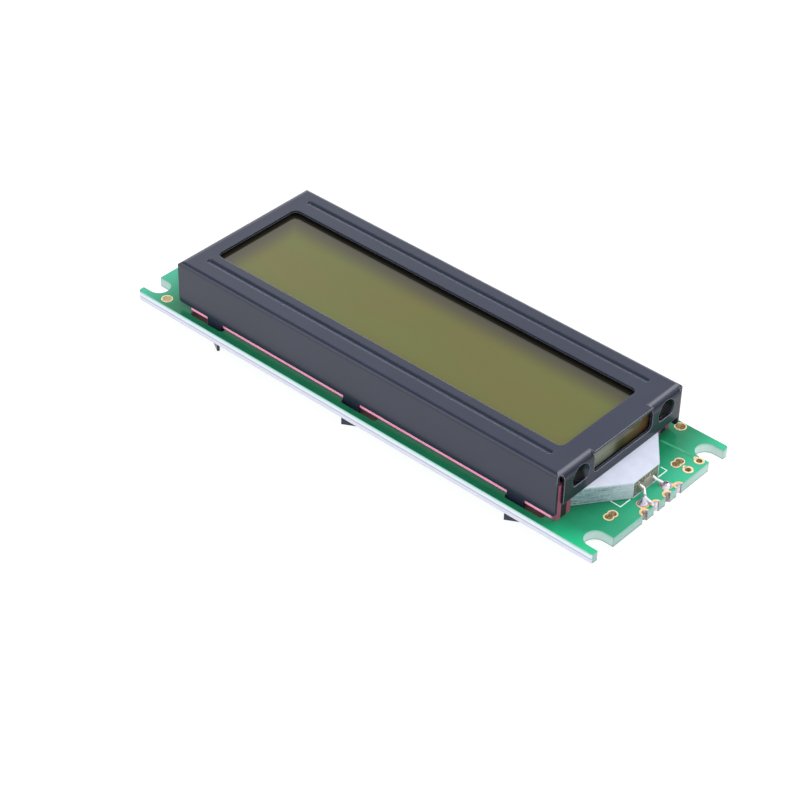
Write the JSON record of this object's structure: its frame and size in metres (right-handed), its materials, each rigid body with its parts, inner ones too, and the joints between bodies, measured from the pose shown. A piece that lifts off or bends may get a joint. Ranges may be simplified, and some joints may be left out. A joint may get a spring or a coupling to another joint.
{
  "type": "character lcd module",
  "caption": "Bare character display module: glass cell under a folded steel bezel, edge-lit light guide with a potted lamp, on a slotted circuit board.",
  "frame": {"origin": "under the middle of the board, at the level of the six tab tips that the module rests on", "axes": "+X along the board towards the lamp end, +Y across it to the rear long side, +Z out of the display"},
  "size_m": [0.085, 0.03, 0.0116],
  "materials": {
    "pcb": "green solder mask over glass-fibre laminate, semi-gloss",
    "bezel_steel": "satin black-grey coated steel sheet",
    "polariser": "glossy film over an olive cell",
    "cell_glass": "clear glass, olive where it is seen edge-on",
    "cell_seal": "thin grey-olive epoxy bead",
    "rear_polariser": "satin reflecting film",
    "opal_plate": "milky satin plastic",
    "clear_guide": "clear acrylic with fine machining marks",
    "white_film": "matt white film",
    "lamp_body": "pale moulded plastic",
    "potting": "dark mottled resin",
    "tinned_wire": "tinned wire, satin",
    "solder": "bright solder with a grey bloom",
    "strip_core": "black striped elastomer",
    "pink_elastomer": "soft pink silicone, matt",
    "plating": "thin gold over copper",
    "globtop_resin": "black poured resin, semi-gloss",
    "resistor_body": "dark glaze",
    "capacitor_body": "tan ceramic"
  },
  "bodies": {
    "root": {"pcb": "pcb", "bezel": "bezel_steel", "front_polariser": "polariser", "front_glass": "cell_glass", "rear_glass": "cell_glass", "cell_seal": "cell_seal", "rear_polariser": "rear_polariser", "diffuser_plate": "opal_plate", "light_guide": "clear_guide", "reflector_film": "white_film", "tongue_film": "white_film", "led_package": "lamp_body", "led_potting": "potting", "led_lead_front": "tinned_wire", "led_lead_rear": "tinned_wire", "solder_joint_front": "solder", "solder_joint_rear": "solder", "edge_solder": "solder", "zebra_core_front": "strip_core", "zebra_core_rear": "strip_core", "zebra_sides_front": "pink_elastomer", "zebra_sides_rear": "pink_elastomer", "header_eyelets": "plating", "corner_eyelets": "plating", "link_eyelets": "plating", "oval_eyelets": "plating", "edge_contacts": "plating", "controller_globtop": "globtop_resin", "driver_globtop": "globtop_resin", "chip_resistors": "resistor_body", "chip_capacitors": "capacitor_body", "chip_terminals": "solder"}
  },
  "joints": []
}
